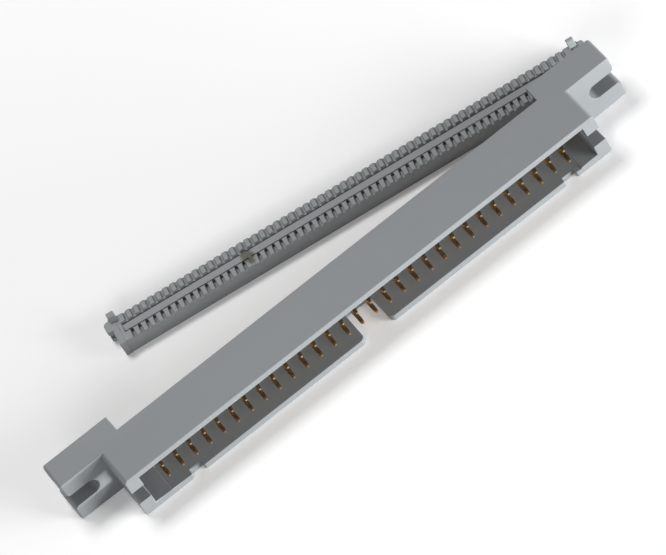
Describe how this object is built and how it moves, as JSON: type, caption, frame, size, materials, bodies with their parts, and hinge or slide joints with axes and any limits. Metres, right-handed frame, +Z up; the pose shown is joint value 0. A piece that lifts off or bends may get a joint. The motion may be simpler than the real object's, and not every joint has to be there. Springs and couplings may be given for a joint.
{
  "type": "idc box header",
  "caption": "Two-row ribbon-cable box header with a keyed shroud, slotted mounting ears and square gold contacts, with its grooved cable cover lying beside it.",
  "frame": {"origin": "on the resting face under the header, at the middle of its length and in the plane of the ears' front faces", "axes": "+X along the rows of contacts, -Y out of the mating side, +Z up from the keyed wall that the header lies on to the plain wall"},
  "size_m": [0.1012, 0.0328, 0.0085],
  "materials": {
    "housing_plastic": "light grey moulded plastic with a fine satin texture",
    "cover_plastic": "light grey moulded plastic, satin",
    "contact_gold": "gold-plated copper alloy, satin"
  },
  "bodies": {
    "root": {"cable_cover": "cover_plastic", "contact_lower_01": "contact_gold", "contact_lower_02": "contact_gold", "contact_lower_03": "contact_gold", "contact_lower_04": "contact_gold", "contact_lower_05": "contact_gold", "contact_lower_06": "contact_gold", "contact_lower_07": "contact_gold", "contact_lower_08": "contact_gold", "contact_lower_09": "contact_gold", "contact_lower_10": "contact_gold", "contact_lower_11": "contact_gold", "contact_lower_12": "contact_gold", "contact_lower_13": "contact_gold", "contact_lower_14": "contact_gold", "contact_lower_15": "contact_gold", "contact_lower_16": "contact_gold", "contact_lower_17": "contact_gold", "contact_lower_18": "contact_gold", "contact_lower_19": "contact_gold", "contact_lower_20": "contact_gold", "contact_lower_21": "contact_gold", "contact_lower_22": "contact_gold", "contact_lower_23": "contact_gold", "contact_lower_24": "contact_gold", "contact_lower_25": "contact_gold", "contact_lower_26": "contact_gold", "contact_lower_27": "contact_gold", "contact_lower_28": "contact_gold", "contact_lower_29": "contact_gold", "contact_upper_02": "contact_gold", "contact_upper_03": "contact_gold", "contact_upper_04": "contact_gold", "contact_upper_05": "contact_gold", "contact_upper_06": "contact_gold", "contact_upper_07": "contact_gold", "contact_upper_08": "contact_gold", "contact_upper_09": "contact_gold", "contact_upper_10": "contact_gold", "contact_upper_11": "contact_gold", "contact_upper_12": "contact_gold", "contact_upper_13": "contact_gold", "contact_upper_14": "contact_gold", "contact_upper_15": "contact_gold", "contact_upper_16": "contact_gold", "contact_upper_17": "contact_gold", "contact_upper_18": "contact_gold", "contact_upper_19": "contact_gold", "contact_upper_20": "contact_gold", "contact_upper_21": "contact_gold", "contact_upper_22": "contact_gold", "contact_upper_23": "contact_gold", "contact_upper_24": "contact_gold", "contact_upper_25": "contact_gold", "contact_upper_26": "contact_gold", "contact_upper_27": "contact_gold", "contact_upper_28": "contact_gold", "contact_upper_29": "contact_gold", "contact_upper_30": "contact_gold", "header_housing": "housing_plastic"}
  },
  "joints": []
}
